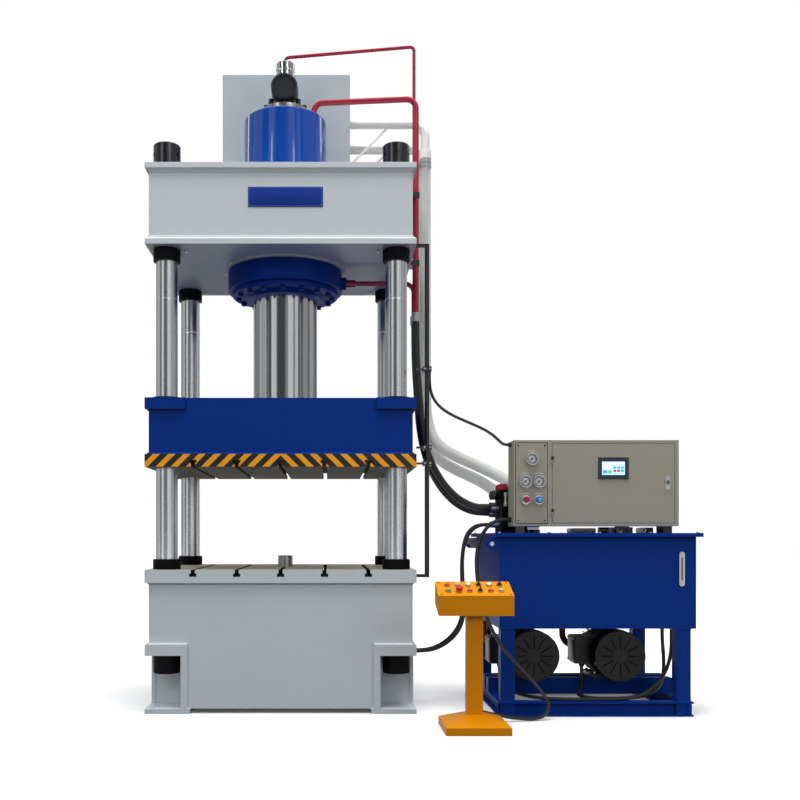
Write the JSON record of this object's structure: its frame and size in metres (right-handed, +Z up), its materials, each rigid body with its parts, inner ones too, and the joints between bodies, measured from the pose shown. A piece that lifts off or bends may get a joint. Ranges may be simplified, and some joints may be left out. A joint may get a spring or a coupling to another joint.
{
  "type": "hot moulding press",
  "caption": "Column-guided hydraulic hot moulding press: sliding platen, ejector, power unit with motors and control cabinet, and push-button pedestal, joined by hoses and cables.",
  "frame": {"origin": "centre of the press's anchor bolt rectangle, on the floor", "axes": "+X to the right, towards the power unit, +Y to the back, +Z up"},
  "size_m": [3.77, 2.0585, 4.8963],
  "materials": {
    "press_grey": "light grey gloss enamel",
    "machine_blue": "deep blue gloss enamel",
    "cylinder_blue": "bright blue gloss enamel",
    "hard_chrome": "ground and hard-chromed",
    "bare_steel": "machined steel",
    "black_steel": "black-oxide steel",
    "tube_red": "red enamel",
    "switch_body": "dark moulded plastic",
    "clear_sight": "satin aluminium with a sight glass",
    "cabinet_beige": "beige-grey textured enamel",
    "zinc_plate": "zinc-plated sheet",
    "gauge_chrome": "polished",
    "motor_black": "black enamel on cast iron",
    "pedestal_yellow": "yellow gloss enamel",
    "lamp_trim": "moulded lenses and bezels",
    "hose_black": "black hose cover",
    "hose_clear": "clear spiral-reinforced hose",
    "cable_black": "black cable sheath",
    "cable_grey": "dark grey cable sheath",
    "screen_case": "dark moulded case",
    "lock_silver": "die-cast, chromed",
    "needle_black": "black enamel",
    "knob_red": "moulded red",
    "knob_blue": "moulded blue",
    "rotor_steel": "turned steel",
    "button_green": "moulded green",
    "button_pale": "moulded pale green",
    "button_red": "moulded red",
    "selector_black": "moulded black"
  },
  "bodies": {
    "machine_frame": {"bed": "press_grey", "columns": "hard_chrome", "column_nuts": "black_steel", "adjusting_nuts": "black_steel", "upper_crosshead": "press_grey", "main_cylinder": "cylinder_blue", "gland_ring": "machine_blue", "gland_bolts": "black_steel", "prefill_valve": "black_steel", "prefill_tank": "press_grey", "overflow_pipes": "press_grey", "oil_tubes": "tube_red", "tube_clamps": "press_grey", "limit_rod": "bare_steel", "limit_switches": "switch_body", "ejector_cylinder": "bare_steel", "stand": "machine_blue", "oil_tank": "machine_blue", "tank_lid": "machine_blue", "level_gauge": "clear_sight", "cabinet": "cabinet_beige", "gauge_panel": "cabinet_beige", "electrical_plate": "zinc_plate", "gauge_cases": "gauge_chrome", "motor_frames": "motor_black", "fan_covers": "motor_black", "pumps": "motor_black", "suction_pipes": "bare_steel", "valve_block": "black_steel", "pedestal": "pedestal_yellow", "button_box": "pedestal_yellow", "panel_fittings": "lamp_trim", "pressure_hoses": "hose_black", "clear_hoses": "hose_clear", "sensor_cable": "cable_grey", "ejector_hoses": "hose_black", "pedestal_cable": "cable_black", "motor_cables": "cable_black"},
    "slide_body": {"slide": "machine_blue", "slide_bushes": "press_grey", "plunger": "hard_chrome"},
    "ejector_body": {"ejector_rod": "bare_steel"},
    "door_body": {"cabinet_door": "cabinet_beige", "touch_screen": "screen_case"},
    "latch_body": {"door_latch": "lock_silver"},
    "needle_top_body": {"needle_top": "needle_black"},
    "needle_left_body": {"needle_left": "needle_black"},
    "needle_right_body": {"needle_right": "needle_black"},
    "pressure_knob_body": {"pressure_knob": "knob_red"},
    "return_knob_body": {"return_knob": "knob_blue"},
    "rotor_left_body": {"motor_rotor_left": "rotor_steel"},
    "rotor_right_body": {"motor_rotor_right": "rotor_steel"},
    "start_button_body": {"start_button": "button_green"},
    "stop_button_body": {"stop_button": "button_red"},
    "lower_button_body": {"lower_button": "button_red"},
    "raise_button_body": {"raise_button": "button_red"},
    "eject_button_body": {"eject_button": "button_pale"},
    "mode_selector_body": {"mode_selector": "selector_black"},
    "heat_selector_body": {"heat_selector": "selector_black"},
    "pump_selector_body": {"pump_selector": "selector_black"}
  },
  "joints": [
    {"name": "slide_stroke", "type": "slide", "parent": "machine_frame", "child": "slide_body", "axis": [0, 0, 1], "range_m": [-0.5, 0.35]},
    {"name": "ejector_stroke", "type": "slide", "parent": "machine_frame", "child": "ejector_body", "axis": [0, 0, 1], "range_m": [-0.085, 0.1]},
    {"name": "door_hinge", "type": "hinge", "parent": "machine_frame", "child": "door_body", "pos_m": [1.855, -0.6833, 1.578], "axis": [0, 0, -1], "range_deg": [0, 110]},
    {"name": "latch_turn", "type": "hinge", "parent": "door_body", "child": "latch_body", "pos_m": [2.644, -0.69, 1.58], "axis": [0, -1, 0], "range_deg": [0, 90]},
    {"name": "motor_spin_left", "type": "hinge", "parent": "machine_frame", "child": "rotor_left_body", "pos_m": [1.756, 0, 0.382], "axis": [0, 1, 0], "continuous": true},
    {"name": "motor_spin_right", "type": "hinge", "parent": "machine_frame", "child": "rotor_right_body", "pos_m": [2.354, 0, 0.382], "axis": [0, 1, 0], "continuous": true},
    {"name": "gauge_top_pointer", "type": "hinge", "parent": "machine_frame", "child": "needle_top_body", "pos_m": [1.715, -0.71, 1.7424], "axis": [0, 1, 0], "range_deg": [0, 270], "stiffness_Nm_per_rad": 0.01},
    {"name": "gauge_left_pointer", "type": "hinge", "parent": "machine_frame", "child": "needle_left_body", "pos_m": [1.6705, -0.71, 1.589], "axis": [0, 1, 0], "range_deg": [0, 270], "stiffness_Nm_per_rad": 0.01},
    {"name": "gauge_right_pointer", "type": "hinge", "parent": "machine_frame", "child": "needle_right_body", "pos_m": [1.7638, -0.71, 1.589], "axis": [0, 1, 0], "range_deg": [0, 270], "stiffness_Nm_per_rad": 0.01},
    {"name": "pressure_knob_turn", "type": "hinge", "parent": "machine_frame", "child": "pressure_knob_body", "pos_m": [1.6747, -0.72, 1.4629], "axis": [0, -1, 0], "range_deg": [-150, 150]},
    {"name": "return_knob_turn", "type": "hinge", "parent": "machine_frame", "child": "return_knob_body", "pos_m": [1.7638, -0.72, 1.4629], "axis": [0, -1, 0], "range_deg": [-150, 150]},
    {"name": "start_button_press", "type": "slide", "parent": "machine_frame", "child": "start_button_body", "axis": [0, 0.3839, -0.9234], "range_m": [0, 0.004], "stiffness_N_per_m": 800, "springref_m": -0.003},
    {"name": "stop_button_press", "type": "slide", "parent": "machine_frame", "child": "stop_button_body", "axis": [0, 0.3839, -0.9234], "range_m": [0, 0.004], "stiffness_N_per_m": 800, "springref_m": -0.003},
    {"name": "lower_button_press", "type": "slide", "parent": "machine_frame", "child": "lower_button_body", "axis": [0, 0.3839, -0.9234], "range_m": [0, 0.004], "stiffness_N_per_m": 800, "springref_m": -0.003},
    {"name": "raise_button_press", "type": "slide", "parent": "machine_frame", "child": "raise_button_body", "axis": [0, 0.3839, -0.9234], "range_m": [0, 0.004], "stiffness_N_per_m": 800, "springref_m": -0.003},
    {"name": "eject_button_press", "type": "slide", "parent": "machine_frame", "child": "eject_button_body", "axis": [0, 0.3839, -0.9234], "range_m": [0, 0.004], "stiffness_N_per_m": 800, "springref_m": -0.003},
    {"name": "pump_selector_turn", "type": "hinge", "parent": "machine_frame", "child": "pump_selector_body", "pos_m": [1.277, -1.218, 0.8697], "axis": [0, -0.3839, 0.9234], "range_deg": [-45, 45]},
    {"name": "mode_selector_turn", "type": "hinge", "parent": "machine_frame", "child": "mode_selector_body", "pos_m": [1.277, -1.142, 0.9013], "axis": [0, -0.3839, 0.9234], "range_deg": [-45, 45]},
    {"name": "heat_selector_turn", "type": "hinge", "parent": "machine_frame", "child": "heat_selector_body", "pos_m": [1.409, -1.142, 0.9013], "axis": [0, -0.3839, 0.9234], "range_deg": [-45, 45]}
  ]
}
